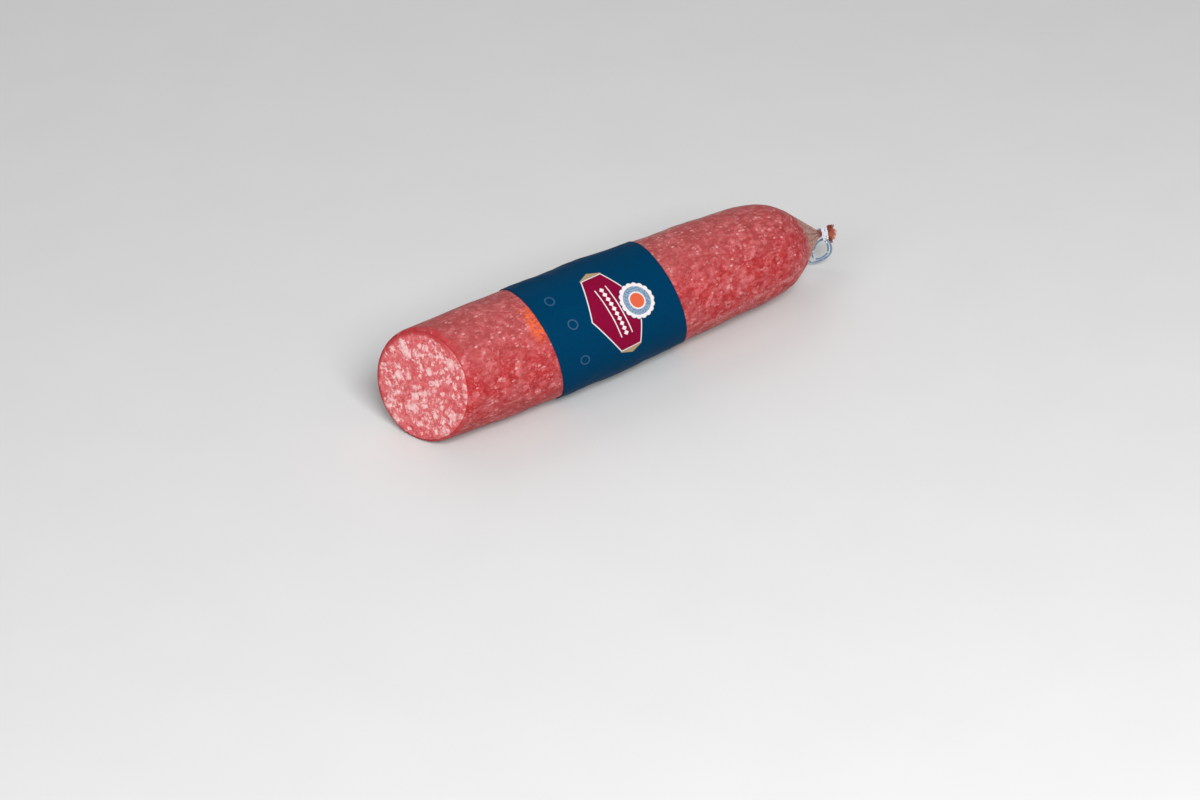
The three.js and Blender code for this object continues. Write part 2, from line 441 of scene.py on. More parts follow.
def speckle_group():
    """Pale speckles: small cells, some of them lit, and a fine uneven grain round them."""
    name = "Pale speckles"
    if name in bpy.data.node_groups:
        return bpy.data.node_groups[name]
    tree, given, result = new_group(
        name,
        [("Vector", "NodeSocketVector", None), ("Size", "NodeSocketFloat", 1.0),
         ("Share", "NodeSocketFloat", 0.3)],
        [("Speckles", "NodeSocketFloat"), ("Grain", "NodeSocketFloat")],
    )
    rate = maths(tree, "DIVIDE", 1.0, given.outputs["Size"])
    cells = add_node(tree, "ShaderNodeTexVoronoi",
                     {"Vector": given.outputs["Vector"], "Scale": rate})
    dice = add_node(tree, "ShaderNodeSeparateColor", {"Color": cells.outputs["Color"]})
    spot = fade(tree, cells.outputs["Distance"], 0.3, 0.55, 1.0, 0.0)
    chosen = maths(tree, "LESS_THAN", dice.outputs["Red"], given.outputs["Share"])
    lit = times(tree, times(tree, spot, chosen), dice.outputs["Green"])
    tree.links.new(lit, result.inputs["Speckles"])
    grain = noise(tree, given.outputs["Vector"], times(tree, rate, 1.3), 4.0, 0.65)
    tree.links.new(grain, result.inputs["Grain"])
    return tree


def strands_group():
    """Twisted twine from its own map, u round it and v along it in diameters: strands that climb
    round as they run along, with a groove between each pair and fine fibres on them."""
    name = "Twine strands"
    if name in bpy.data.node_groups:
        return bpy.data.node_groups[name]
    tree, given, result = new_group(
        name,
        [("Vector", "NodeSocketVector", None), ("Strands", "NodeSocketFloat", 3.0),
         ("Twist", "NodeSocketFloat", 0.35), ("Dyed", "NodeSocketFloat", 0.5)],
        [("Dye", "NodeSocketFloat"), ("Groove", "NodeSocketFloat"), ("Fibre", "NodeSocketFloat")],
    )
    parts = add_node(tree, "ShaderNodeSeparateXYZ", {"Vector": given.outputs["Vector"]})
    climb = times(tree, parts.outputs["Y"], given.outputs["Twist"])
    turned = maths(tree, "ADD", parts.outputs["X"], climb)
    phase = times(tree, turned, given.outputs["Strands"])
    across = maths(tree, "PINGPONG", phase, 0.5)
    groove = fade(tree, across, 0.0, 0.2, 1.0, 0.0)
    tree.links.new(groove, result.inputs["Groove"])
    which = add_node(tree, "ShaderNodeCombineXYZ", {"X": maths(tree, "FLOOR", phase)})
    patch = times(tree, parts.outputs["Y"], 0.16)
    spot = add_node(tree, "ShaderNodeCombineXYZ", {"X": patch})
    place = vector_maths(tree, "MULTIPLY_ADD", which.outputs["Vector"], (7.3, 0.0, 0.0),
                         spot.outputs["Vector"])
    value = noise(tree, place, 1.0, 1.0)
    low = minus(tree, 0.97, given.outputs["Dyed"])
    high = minus(tree, 1.03, given.outputs["Dyed"])
    tree.links.new(fade(tree, value, low, high), result.inputs["Dye"])
    fine = vector_maths(tree, "MULTIPLY", given.outputs["Vector"], (26.0, 3.0, 1.0))
    tree.links.new(noise(tree, fine, 1.0, 3.0, 0.6), result.inputs["Fibre"])
    return tree


def new_material(name, **constants):
    """A material with one Principled shader. Values that are the same all over go on its sockets."""
    made = bpy.data.materials.new(name)
    made.use_nodes = True
    tree = made.node_tree
    shader = next(n for n in tree.nodes if n.type == "BSDF_PRINCIPLED")
    for key, value in constants.items():
        shader.inputs[key.replace("_", " ")].default_value = value
    return made, tree, shader


def set_bump(tree, shader, height, distance, strength=1.0):
    """A Bump node that feeds the shader's normal. distance is the relief's height in metres."""
    sockets = {"Height": height, "Distance": distance, "Strength": strength}
    made = add_node(tree, "ShaderNodeBump", sockets)
    tree.links.new(made.outputs["Normal"], shader.inputs["Normal"])


def meat_material(colours):
    """The cut face: lean of uneven red with pale fat bits in it, darker red round the rim."""
    made, tree, shader = new_material(
        "Cured meat", IOR=1.42, Subsurface_Weight=0.12, Subsurface_Radius=(1.0, 0.3, 0.2),
        Subsurface_Scale=1.2 * MM, Coat_Weight=0.12, Coat_Roughness=0.32,
    )
    place = in_millimetres(tree)
    minced = use_group(tree, minced_group(), {"Vector": place, "Share": 0.58, "Softness": 0.3})
    flecks = use_group(tree, speckle_group(), {"Vector": place, "Size": 0.9, "Share": 0.3})
    rim = point_value(tree, "rim")
    lean = blend(tree, fade(tree, minced["Lean Tone"], 0.3, 0.62), colours.lean_dark, colours.lean)
    haze = noise(tree, place, 0.55, 4.0, 0.65)
    lean = blend(tree, fade(tree, haze, 0.42, 0.72, 0.0, 0.9), lean, colours.lean_pale)
    face = blend(tree, fade(tree, minced["Fat"], 0.0, 0.6, 0.0, 0.75), lean, colours.lean_pale)
    core = times(tree, minced["Fat"], fade(tree, haze, 0.3, 0.6, 0.35, 1.0))
    face = blend(tree, core, face, colours.fat)
    face = blend(tree, times(tree, flecks["Speckles"], 0.3), face, colours.fat)
    rim_red = blend(tree, times(tree, minced["Fat"], 0.25), colours.rim, colours.lean)
    tree.links.new(blend(tree, rim, face, rim_red), shader.inputs["Base Color"])
    gloss = times_plus(tree, minced["Fat"], -0.12, 0.5)
    gloss = times_plus(tree, flecks["Grain"], 0.12, gloss)
    tree.links.new(gloss, shader.inputs["Roughness"])
    relief = times_plus(tree, minced["Fat"], 0.5, flecks["Grain"])
    set_bump(tree, shader, relief, 0.25 * MM)
    return made


def casing_material(colours):
    """The casing: minced meat seen softly through a thin matt skin, a whitish bloom of fine
    speckles, paler and browner where the skin is gathered, with an orange smear by the band. Also
    painted light: greyer towards the top and tan along the upper back side as painted sheen,
    darker low down and in the furrows as painted shade, and a painted highlight along a crease."""
    made, tree, shader = new_material(
        "Casing", IOR=1.45, Specular_IOR_Level=0.13, Sheen_Weight=0.04, Sheen_Roughness=0.4,
        Sheen_Tint=(0.95, 0.82, 0.7, 1.0), Subsurface_Weight=0.05,
        Subsurface_Radius=(1.0, 0.3, 0.2), Subsurface_Scale=0.8 * MM,
    )
    place = in_millimetres(tree)
    minced = use_group(tree, minced_group(), {"Vector": place, "Share": 0.5, "Softness": 0.38})
    drawn_out = vector_maths(tree, "MULTIPLY", place, (0.55, 1.0, 1.0))
    bloom = use_group(tree, speckle_group(), {"Vector": drawn_out, "Size": 1.3, "Share": 0.4})
    dust = use_group(tree, speckle_group(), {"Vector": place, "Size": 0.8, "Share": 0.26})
    gathered_and_sheen = point_value(tree, "gathered_and_sheen")
    painted_crease_highlight = point_value(tree, "painted_crease_highlight")
    tail = point_value(tree, "tail")
    orange_smear = point_value(tree, "orange_smear")
    furrow = point_value(tree, "furrow")
    near_rim = point_value(tree, "tail_rim")
    slow = noise(tree, place, 0.075, 3.0, 0.55)
    blotch = noise(tree, place, 0.22, 3.0, 0.6)
    at_cut = point_value(tree, "at_cut")
    meat = blend(tree, fade(tree, minced["Lean Tone"], 0.36, 0.62), colours.casing_deep_and_low_shade,
                 colours.casing)
    parts = add_node(tree, "ShaderNodeSeparateXYZ", {"Vector": place}).outputs
    from_middle, height = parts["X"], parts["Z"]
    # Greyer in slow random patches, and greyer towards the top as painted sheen.
    grey_tone_and_top_sheen = maths(tree, "MAXIMUM", fade(tree, slow, 0.42, 0.66, 0.0, 0.45),
                 fade(tree, height, 34.0, 56.0, 0.0, 0.6))
    meat = blend(tree, grey_tone_and_top_sheen, meat, colours.casing_grey_and_top_sheen)
    # Painted shade: darker towards the bottom.
    meat = blend(tree, fade(tree, height, 4.0, 24.0, 0.55, 0.0), meat, colours.casing_deep_and_low_shade)
    pale = times(tree, minced["Fat"], fade(tree, blotch, 0.38, 0.6, 0.15, 0.95))
    meat = blend(tree, pale, meat, colours.casing_pale)
    streaks = fade(tree, noise(tree, drawn_out, 0.42, 3.0, 0.55), 0.46, 0.68, 0.0, 0.6)
    streaks = times(tree, streaks, fade(tree, from_middle, -75.0, -15.0, 0.6, 1.0))
    streaks = times(tree, streaks, fade(tree, slow, 0.36, 0.58, 0.55, 1.0))
    skin = blend(tree, streaks, meat, colours.casing_pale)
    skin = blend(tree, fade(tree, bloom["Grain"], 0.5, 0.72, 0.0, 0.42), skin, colours.casing_pale)
    clusters = fade(tree, blotch, 0.42, 0.62, 0.1, 0.8)
    for spots, most in ((bloom, 1.0), (dust, 0.4)):
        lit = times(tree, times(tree, spots["Speckles"], most), clusters)
        skin = blend(tree, lit, skin, colours.bloom)
    reddened = times(tree, at_cut, fade(tree, minced["Fat"], 0.0, 1.0, 0.8, 0.25))
    skin = blend(tree, reddened, skin, colours.rim)
    # Painted highlight: whitish streaks along a crease low on the near side, in the bloom colour.
    crease_highlight = times(tree, painted_crease_highlight, fade(tree, dust["Grain"], 0.46, 0.64))
    skin = blend(tree, crease_highlight, skin, colours.bloom)
    # The tan of the gathered neck, which also paints the sheen along the upper back side.
    tan_neck_and_sheen = blend(tree, fade(tree, bloom["Grain"], 0.35, 0.68), colours.gathered_and_sheen,
                colours.gathered_pale)
    # Painted shade in the pleats' furrows and in front of the binding.
    tan_neck_and_sheen = blend(tree, times(tree, furrow, 0.75), tan_neck_and_sheen, colours.tail_dark)
    uneven = times_plus(tree, minced["Lean Tone"], 1.5, gathered_and_sheen)
    uneven = times_plus(tree, bloom["Grain"], 0.9, uneven)
    skin = blend(tree, fade(tree, uneven, 1.5, 2.1), skin, tan_neck_and_sheen)
    # An orange smear on the casing beside the band.
    smear = times(tree, orange_smear, fade(tree, bloom["Grain"], 0.35, 0.6))
    skin = blend(tree, smear, skin, colours.orange_smear)
    curled = blend(tree, fade(tree, blotch, 0.46, 0.62), colours.tail_dark, colours.tail)
    curled = blend(tree, fade(tree, bloom["Grain"], 0.52, 0.66, 0.0, 0.4), curled,
                   colours.tail_spots)
    curled = blend(tree, fade(tree, near_rim, 0.62, 1.0, 0.0, 0.85), curled, colours.tail_rim)
    tree.links.new(blend(tree, tail, skin, curled), shader.inputs["Base Color"])
    gloss = times_plus(tree, dust["Grain"], 0.25, 0.4)
    tree.links.new(gloss, shader.inputs["Roughness"])
    relief = times_plus(tree, bloom["Speckles"], 0.5, dust["Grain"])
    relief = times_plus(tree, bloom["Grain"], 1.5, relief)
    set_bump(tree, shader, relief, 0.18 * MM)
    return made


def inside_shape(tree, distance, softness=0.12):
    """1 where a signed distance in millimetres is positive, 0 where it is negative."""
    return fade(tree, distance, -softness, softness)


def panel_distance(tree, x, y, half_length, half_width, end_width):
    """How far inside a stretched six-sided panel a point is: the nearer of its ends and of its
    sides, which slope in from the middle."""
    length = size_of(tree, y)
    width = size_of(tree, x)
    slope = (half_width - end_width) / half_length
    lean = math.cos(math.atan(slope))
    to_end = minus(tree, half_length, length)
    side = times_plus(tree, length, -slope, half_width)
    to_side = times(tree, minus(tree, side, width), lean)
    return maths(tree, "MINIMUM", to_end, to_side)


def disc_distance(tree, x, y, centre, radius):
    """How far inside a circle a point is."""
    dx = minus(tree, x, centre[0])
    dy = minus(tree, y, centre[1])
    squares = times_plus(tree, dx, dx, times(tree, dy, dy))
    return minus(tree, radius, maths(tree, "SQRT", squares))


def band_material(colours):
    """The printed band: satin navy, a crimson panel with a pale line round it and a row of plain
    diamonds down it, gilt ends, a plain round seal over its edge and three faint rings."""
    made, tree, shader = new_material("Printed band", IOR=1.5, Specular_IOR_Level=0.012)
    sheet = add_node(tree, "ShaderNodeUVMap", uv_map="Surface").outputs["UV"]
    flat = add_node(tree, "ShaderNodeSeparateXYZ", {"Vector": sheet})
    along = times(tree, flat.outputs["Y"], MAP_MM)
    round_it = times(tree, flat.outputs["X"], MAP_MM)
    place = in_millimetres(tree)
    print_grain = use_group(tree, speckle_group(), {"Vector": place, "Size": 0.6, "Share": 0.2})

    # The panel's own directions, turned slightly from the band's.
    spread = add_node(tree, "ShaderNodeCombineXYZ", {"X": along, "Y": round_it})
    from_panel = vector_maths(tree, "SUBTRACT", spread.outputs["Vector"], (*PANEL_PLACE, 0.0))
    turned = add_node(tree, "ShaderNodeVectorRotate", {"Vector": from_panel, "Angle": PANEL_TURN},
                      rotation_type="Z_AXIS")
    own = add_node(tree, "ShaderNodeSeparateXYZ", {"Vector": turned.outputs["Vector"]})
    x, y = own.outputs["X"], own.outputs["Y"]
    panel = panel_distance(tree, x, y, PANEL_HALF_LENGTH, PANEL_HALF_WIDTH, PANEL_END_WIDTH)
    ink = blend(tree, fade(tree, print_grain["Grain"], 0.35, 0.65), colours.navy,
                colours.navy_light)

    # Gilt ends: a low gable beyond each end of the panel.
    beyond = minus(tree, size_of(tree, y), PANEL_HALF_LENGTH + 0.2)
    gable = times_plus(tree, size_of(tree, x), -0.45, GABLE_HEIGHT)
    gable = maths(tree, "MINIMUM", minus(tree, gable, beyond), beyond)
    ink = blend(tree, inside_shape(tree, gable), ink, colours.gilt)

    ink = blend(tree, inside_shape(tree, maths(tree, "ADD", panel, 0.1)), ink, colours.cream)
    crimson = blend(tree, fade(tree, print_grain["Grain"], 0.35, 0.7), colours.crimson,
                    colours.crimson_light)
    ink = blend(tree, inside_shape(tree, minus(tree, panel, 0.45)), ink, crimson)

    # A row of diamonds down the middle of the panel, between two thin rules.
    wave = maths(tree, "PINGPONG", maths(tree, "ADD", y, DIAMOND_STEP), DIAMOND_STEP)
    step = minus(tree, wave, DIAMOND_STEP / 2)
    off = maths(tree, "ADD", size_of(tree, x), size_of(tree, step))
    short = minus(tree, ROW_HALF_LENGTH, size_of(tree, y))
    off_rule = size_of(tree, minus(tree, size_of(tree, x), RULE_PLACE))
    for mark in (minus(tree, DIAMOND_REACH, off), minus(tree, 0.28, off_rule)):
        drawn = times(tree, inside_shape(tree, mark), inside_shape(tree, short))
        ink = blend(tree, drawn, ink, colours.cream)

    # The seal: a scalloped pale rim, a grey-blue field and a small warm button.
    seal = disc_distance(tree, along, round_it, SEAL_PLACE, SEAL_RADIUS)
    bearing = maths(tree, "ARCTAN2", minus(tree, round_it, SEAL_PLACE[1]),
                    minus(tree, along, SEAL_PLACE[0]))
    scallop = size_of(tree, maths(tree, "SINE", times(tree, bearing, SEAL_SCALLOPS)))
    edge = times_plus(tree, scallop, 0.7, seal)
    ink = blend(tree, inside_shape(tree, maths(tree, "ADD", edge, 0.4)), ink, colours.navy)
    ink = blend(tree, inside_shape(tree, edge), ink, colours.cream)
    field = blend(tree, fade(tree, print_grain["Grain"], 0.4, 0.6), colours.seal,
                  colours.seal_light)
    for inwards, tint in ((1.4, field), (4.2, colours.cream), (4.9, colours.button)):
        ink = blend(tree, inside_shape(tree, minus(tree, seal, inwards)), ink, tint)

    # Faint plain rings towards the cut end.
    for ring_place in RING_PLACES:
        ring = disc_distance(tree, along, round_it, ring_place, RING_RADIUS)
        line = minus(tree, 0.35, size_of(tree, ring))
        ink = blend(tree, times(tree, inside_shape(tree, line), 0.4), ink,
                    colours.seal)
    tree.links.new(ink, shader.inputs["Base Color"])
    gloss = times_plus(tree, print_grain["Grain"], 0.14, 0.36)
    tree.links.new(gloss, shader.inputs["Roughness"])
    set_bump(tree, shader, print_grain["Grain"], 0.03 * MM)
    return made


def twine_material(name, colours, dyed):
    """Twisted cotton twine: bleached strands with a share of them dyed blue, and painted shade in the
    grooves.
    """
    made, tree, shader = new_material(name, IOR=1.4, Sheen_Weight=0.3, Sheen_Roughness=0.5)
    route = add_node(tree, "ShaderNodeUVMap", uv_map="Surface").outputs["UV"]
    strands = use_group(tree, strands_group(), {"Vector": route, "Dyed": dyed})
    colour = blend(tree, strands["Dye"], colours.bleached, colours.blue)
    # Painted shade in the grooves between strands.
    colour = blend(tree, times(tree, strands["Groove"], 0.55), colour,
                   colours.twine_groove_shade)
    fibre = fade(tree, strands["Fibre"], 0.3, 0.7, 0.0, 0.25)
    colour = blend(tree, fibre, colour, colours.bleached)
    tree.links.new(colour, shader.inputs["Base Color"])
    gloss = times_plus(tree, strands["Fibre"], 0.2, 0.65)
    tree.links.new(gloss, shader.inputs["Roughness"])
    relief = times_plus(tree, strands["Groove"], -1.5, strands["Fibre"])
    set_bump(tree, shader, relief, 0.05 * MM)
    return made


# ---- Settings ----


def colour(name, description, default):
    """A colour property, given as linear red, green and blue."""
    return FloatVectorProperty(
        name=name, description=description, default=default, size=3, min=0, max=1,
        subtype="COLOR",
    )


class SausageColours(bpy.types.PropertyGroup):
    """Colours of the meat, the casing, the band and the twine."""

    lean: colour("Lean", "Lean meat on the cut face", (0.63, 0.098, 0.110))
    lean_dark: colour("Dark lean", "Deeper red lean", (0.48, 0.038, 0.046))
    lean_pale: colour("Pale lean", "Lean with fine fat in it", (0.70, 0.205, 0.215))
    fat: colour("Fat", "Fat bits on the cut face", (0.84, 0.56, 0.545))
    # Darker red round the rim of the cut, on the meat and the casing's edge, strongest on the upper
    # back side.
    rim: colour("Rim", "Dried meat round the rim of the cut", (0.42, 0.026, 0.032))
    casing: colour("Casing", "Meat seen through the casing", (0.40, 0.023, 0.028))
    # Deeper red through the casing, and also the painted shade low down.
    casing_deep_and_low_shade: colour("Dark casing", "Deeper red through the casing", (0.29, 0.012, 0.015))
    # Greyer meat through the casing; also the painted sheen towards the top.
    casing_grey_and_top_sheen: colour("Dull casing", "Greyer meat through the casing", (0.31, 0.072, 0.072))
    casing_pale: colour("Pale casing", "Fat seen through the casing", (0.53, 0.125, 0.13))
    # Whitish speckles on the casing; also the colour of the painted crease highlight.
    bloom: colour("Bloom", "Whitish speckles on the casing", (0.70, 0.36, 0.355))
    # The tan of the gathered neck and its pale patches; both also paint the sheen along the upper
    # back side.
    gathered_and_sheen: colour("Gathered casing", "Dry casing drawn in at the neck", (0.28, 0.115, 0.088))
    gathered_pale: colour("Pale gathered casing", "Rubbed ridges at the neck", (0.50, 0.33, 0.28))
    orange_smear: colour("Paprika", "Orange smear beside the band", (0.72, 0.11, 0.02))
    tail: colour("Tail", "Dry curled casing beyond the binding", (0.31, 0.08, 0.045))
    tail_dark: colour("Dark tail", "Shaded folds of the tail", (0.13, 0.014, 0.013))
    tail_spots: colour("Tail spots", "Thin places in the tail", (0.62, 0.30, 0.13))
    tail_rim: colour("Tail rim", "Thin pale edge of the tail", (0.62, 0.38, 0.31))
    navy: colour("Navy", "Ground of the band", (0.0, 0.028, 0.072))
    navy_light: colour("Light navy", "Lighter ink of the band", (0.0, 0.037, 0.094))
    crimson: colour("Crimson", "Panel on the band", (0.17, 0.002, 0.024))
    crimson_light: colour("Light crimson", "Lighter ink of the panel", (0.21, 0.005, 0.036))
    cream: colour("Cream", "Pale lines and rim of the seal", (0.64, 0.60, 0.60))
    gilt: colour("Gilt", "Ends of the panel", (0.34, 0.24, 0.13))
    seal: colour("Seal", "Field of the seal", (0.075, 0.14, 0.23))
    seal_light: colour("Light seal", "Paler flecks in the seal", (0.26, 0.35, 0.45))
    button: colour("Button", "Middle of the seal", (0.56, 0.10, 0.045))
    bleached: colour("Bleached twine", "Undyed strands", (0.70, 0.72, 0.78))
    blue: colour("Blue twine", "Dyed strands", (0.055, 0.16, 0.29))
    # Painted shade in the grooves between strands of twine.
    twine_groove_shade: colour("Dark blue twine", "Grooves between strands", (0.02, 0.05, 0.10))


class SausageSizes(bpy.types.PropertyGroup):
    """Sizes of the made surfaces."""

    lump_height: FloatProperty(
        name="Lump height", description="Height of the casing's gentle lumps",
        default=0.12 * MM, min=0, unit="LENGTH",
    )
    pleats: IntProperty(
        name="Pleats", description="Pleats drawn together at the neck", default=16, min=5,
    )
    pleat_depth: FloatProperty(
        name="Pleat depth", description="Depth of the pleats where they are deepest",
        default=0.9 * MM, min=0, unit="LENGTH",
    )
    casing_thickness: FloatProperty(
        name="Casing thickness", description="Thickness of the casing", default=0.3 * MM,
        min=0.1 * MM, unit="LENGTH",
    )
    band_thickness: FloatProperty(
        name="Band thickness", description="Thickness of the printed band", default=0.25 * MM,
        min=0.05 * MM, unit="LENGTH",
    )
    twine_diameter: FloatProperty(
        name="Twine diameter", description="Diameter of the twine", default=1.0 * MM,
        min=0.3 * MM, unit="LENGTH",
    )
    wraps: IntProperty(
        name="Wraps", description="Turns of twine round the neck", default=4, min=1,
    )
    roundness: FloatProperty(
        name="Rim roundness", description="How far the edge of the cut is rounded over",
        default=2.0 * MM, min=0, unit="LENGTH",
    )


# ---- Twine ----


def through_points(points, count):
    """A centripetal Catmull-Rom curve through the points: between two points a cubic whose slopes
    come from the neighbours, each step weighted by the square root of its length."""
    first_extra = 2 * points[0] - points[1]
    last_extra = 2 * points[-1] - points[-2]
    padded = np.concatenate([[first_extra], points, [last_extra]])
    place = np.linspace(0, len(points) - 1, count)
    first = np.minimum(place.astype(int), len(points) - 2)
    t = (place - first)[:, None]
    before, start, end, after = (padded[first + step] for step in range(4))
    gap_in, gap, gap_out = (
        np.sqrt(np.linalg.norm(b - a, axis=1))[:, None]
        for a, b in ((before, start), (start, end), (end, after))
    )
    slope_in = gap * (
        (start - before) / gap_in - (end - before) / (gap_in + gap) + (end - start) / gap
    )
    slope_out = gap * (
        (end - start) / gap - (after - start) / (gap + gap_out) + (after - end) / gap_out
    )
    return (
        start
        + slope_in * t
        + (3 * (end - start) - 2 * slope_in - slope_out) * t**2
        + (2 * (start - end) + slope_in + slope_out) * t**3
    )


def twisted_tube(path, diameter, side_hint, strands=3, twist=0.35, sides=18):
    """Twine carried along a path. Round it the radius dips between strands, and the strands turn
    with the length run, twist turns for each diameter. Each end closes on a pole. side_hint is a
    direction that no stretch of the path runs along, from which the section's axes are taken.
    Gives points, faces and a map with u round and v along in diameters."""
    forward = np.gradient(path, axis=0)
    forward /= np.linalg.norm(forward, axis=1, keepdims=True)
    across = np.cross(forward, side_hint)
    across /= np.linalg.norm(across, axis=1, keepdims=True)
    above = np.cross(across, forward)
    steps = np.linalg.norm(np.diff(path, axis=0), axis=1)
    run = np.concatenate([[0], np.cumsum(steps)]) / diameter
    round_it = np.linspace(0, 1, sides, endpoint=False)
    phase = strands * (round_it[None, :] + twist * run[:, None])
    dip = np.abs(np.sin(math.pi * phase))
    ends = np.minimum(run, run[-1] - run)
    taper = np.sqrt(np.clip(1 - (1 - np.clip(ends / 0.5, 0, 1)) ** 2, 0.04, 1))
    radius = diameter / 2 * (0.8 + 0.2 * dip) * taper[:, None]
    turn = 2 * math.pi * round_it
    points = (
        path[:, None, :]
        + radius[..., None] * np.cos(turn)[None, :, None] * across[:, None, :]
        + radius[..., None] * np.sin(turn)[None, :, None] * above[:, None, :]
    ).reshape(-1, 3)
    rows = len(path)
    points = np.concatenate([points, path[:1], path[-1:]])
    pole = rows * sides
    faces = [
        ring_faces(rows, sides)[:, ::-1],
        fan_faces(pole, 0, sides),
        fan_faces(pole + 1, (rows - 1) * sides, sides, flip=True),
    ]
    uv = np.stack(np.broadcast_arrays(round_it[None, :], run[:, None]), axis=-1).reshape(-1, 2)
    uv = np.concatenate([uv, [(0.5, run[0])], [(0.5, run[-1])]])
    return points, faces, uv


def neck_directions():
    """The middle of the binding, and the directions along, across and up from the neck there."""
    places = np.stack([np.array(middle_line(NECK + step)) for step in (-MM, 0.0, MM)])
    along = places[2] - places[0]
    along /= np.linalg.norm(along)
    across = np.cross((0.0, 0.0, 1.0), along)
    across /= np.linalg.norm(across)
    return places[1], along, across, np.cross(along, across)


def loop_path(count):
    """The hanging loop's middle line, turned about the vertical and set below the neck."""
    across, up, behind = LOOP_ROUTE.T
    flat = np.stack([across, behind, up], axis=-1)
    line = through_points(flat, count)
    turn = np.array(Matrix.Rotation(LOOP_TURN, 3, "Z"))
    return line @ turn.T + np.array(middle_line(NECK))


# ---- Operators ----


class SAUSAGE_OT_stage(bpy.types.Operator):
    """Makes the pale floor, the soft lights and the camera"""

    bl_idname = "sausage.stage"
    bl_label = "Stage"

    CAMERA_PLACE = (-0.68718, -1.02485, 0.80333)
    CAMERA_FORWARD = (0.4516848, 0.69518641, -0.5591929)
    CAMERA_UP = (0.35099912, 0.43776476, 0.82774491)
    LENS = 88.68

    def execute(self, context):
        scene = context.scene
        camera = bpy.data.objects.new("Camera", bpy.data.cameras.new("Camera"))
        camera.data.lens = self.LENS
        forward, up = Vector(self.CAMERA_FORWARD), Vector(self.CAMERA_UP)
        turned = Matrix((forward.cross(up), up, -forward)).transposed().to_4x4()
        camera.matrix_world = Matrix.Translation(self.CAMERA_PLACE) @ turned
        scene.collection.objects.link(camera)
        scene.camera = camera

        self.make_floor(scene)
        self.add_light(scene, "Key light", (-0.35, -1.25, 1.15), 0.8, 32.0)
        self.add_light(scene, "Side light", (-1.5, -0.4, 1.0), 0.9, 6.5)
        self.add_light(scene, "Back light", (0.3, 1.2, 1.3), 1.2, 6.0)
        world = bpy.data.worlds.new("Studio")
        world.use_nodes = True
        sky = world.node_tree.nodes["Background"]
        sky.inputs["Color"].default_value = (1.0, 1.0, 1.0, 1.0)
        sky.inputs["Strength"].default_value = 0.26
        scene.world = world
        scene.view_settings.view_transform = "Standard"
        return {"FINISHED"}

    def make_floor(self, scene):
        """A flat floor, finely grained, that reaches far beyond the view."""
        half = 6.0
        corners = half * np.array([(-1, -1, 0), (1, -1, 0), (1, 1, 0), (-1, 1, 0)], float)
        made, tree, shader = new_material("Pale floor", Roughness=0.8)
        grain = noise(tree, in_millimetres(tree), 0.02, 3.0)
        tone = blend(tree, grain, (0.61, 0.61, 0.61), (0.64, 0.64, 0.64))
        tree.links.new(tone, shader.inputs["Base Color"])
        floor = new_piece("Floor", corners, [np.array([(0, 1, 2, 3)])], made)
        floor.location.z = -0.02 * MM

    def add_light(self, scene, name, place, size, power):
        """A square soft light that faces the sausage."""
        lamp = bpy.data.lights.new(name, "AREA")
        lamp.shape, lamp.size, lamp.energy = "SQUARE", size, power
        light = bpy.data.objects.new(name, lamp)
        light.location = place
        light.rotation_euler = (-Vector(place)).to_track_quat("-Z", "Y").to_euler()
        scene.collection.objects.link(light)


class SAUSAGE_OT_hanging_loop(bpy.types.Operator):
    """Makes the twine loop that hangs from the neck"""

    bl_idname = "sausage.hanging_loop"
    bl_label = "Hanging Loop"

    def execute(self, context):
        settings = context.scene.sausage
        path = loop_path(LOOP_STATIONS)
        # The loop hangs in one upright plane, so its own across direction is square to that.
        behind = np.array((-math.sin(LOOP_TURN), math.cos(LOOP_TURN), 0.0))
        points, faces, uv = twisted_tube(path, settings.sizes.twine_diameter, behind)
        material = twine_material("Blue twine", settings.colours, dyed=0.6)
        piece = new_piece("twine_loop", points, faces, material, uv)
        place_piece(piece, "hanging_loop")
        return {"FINISHED"}


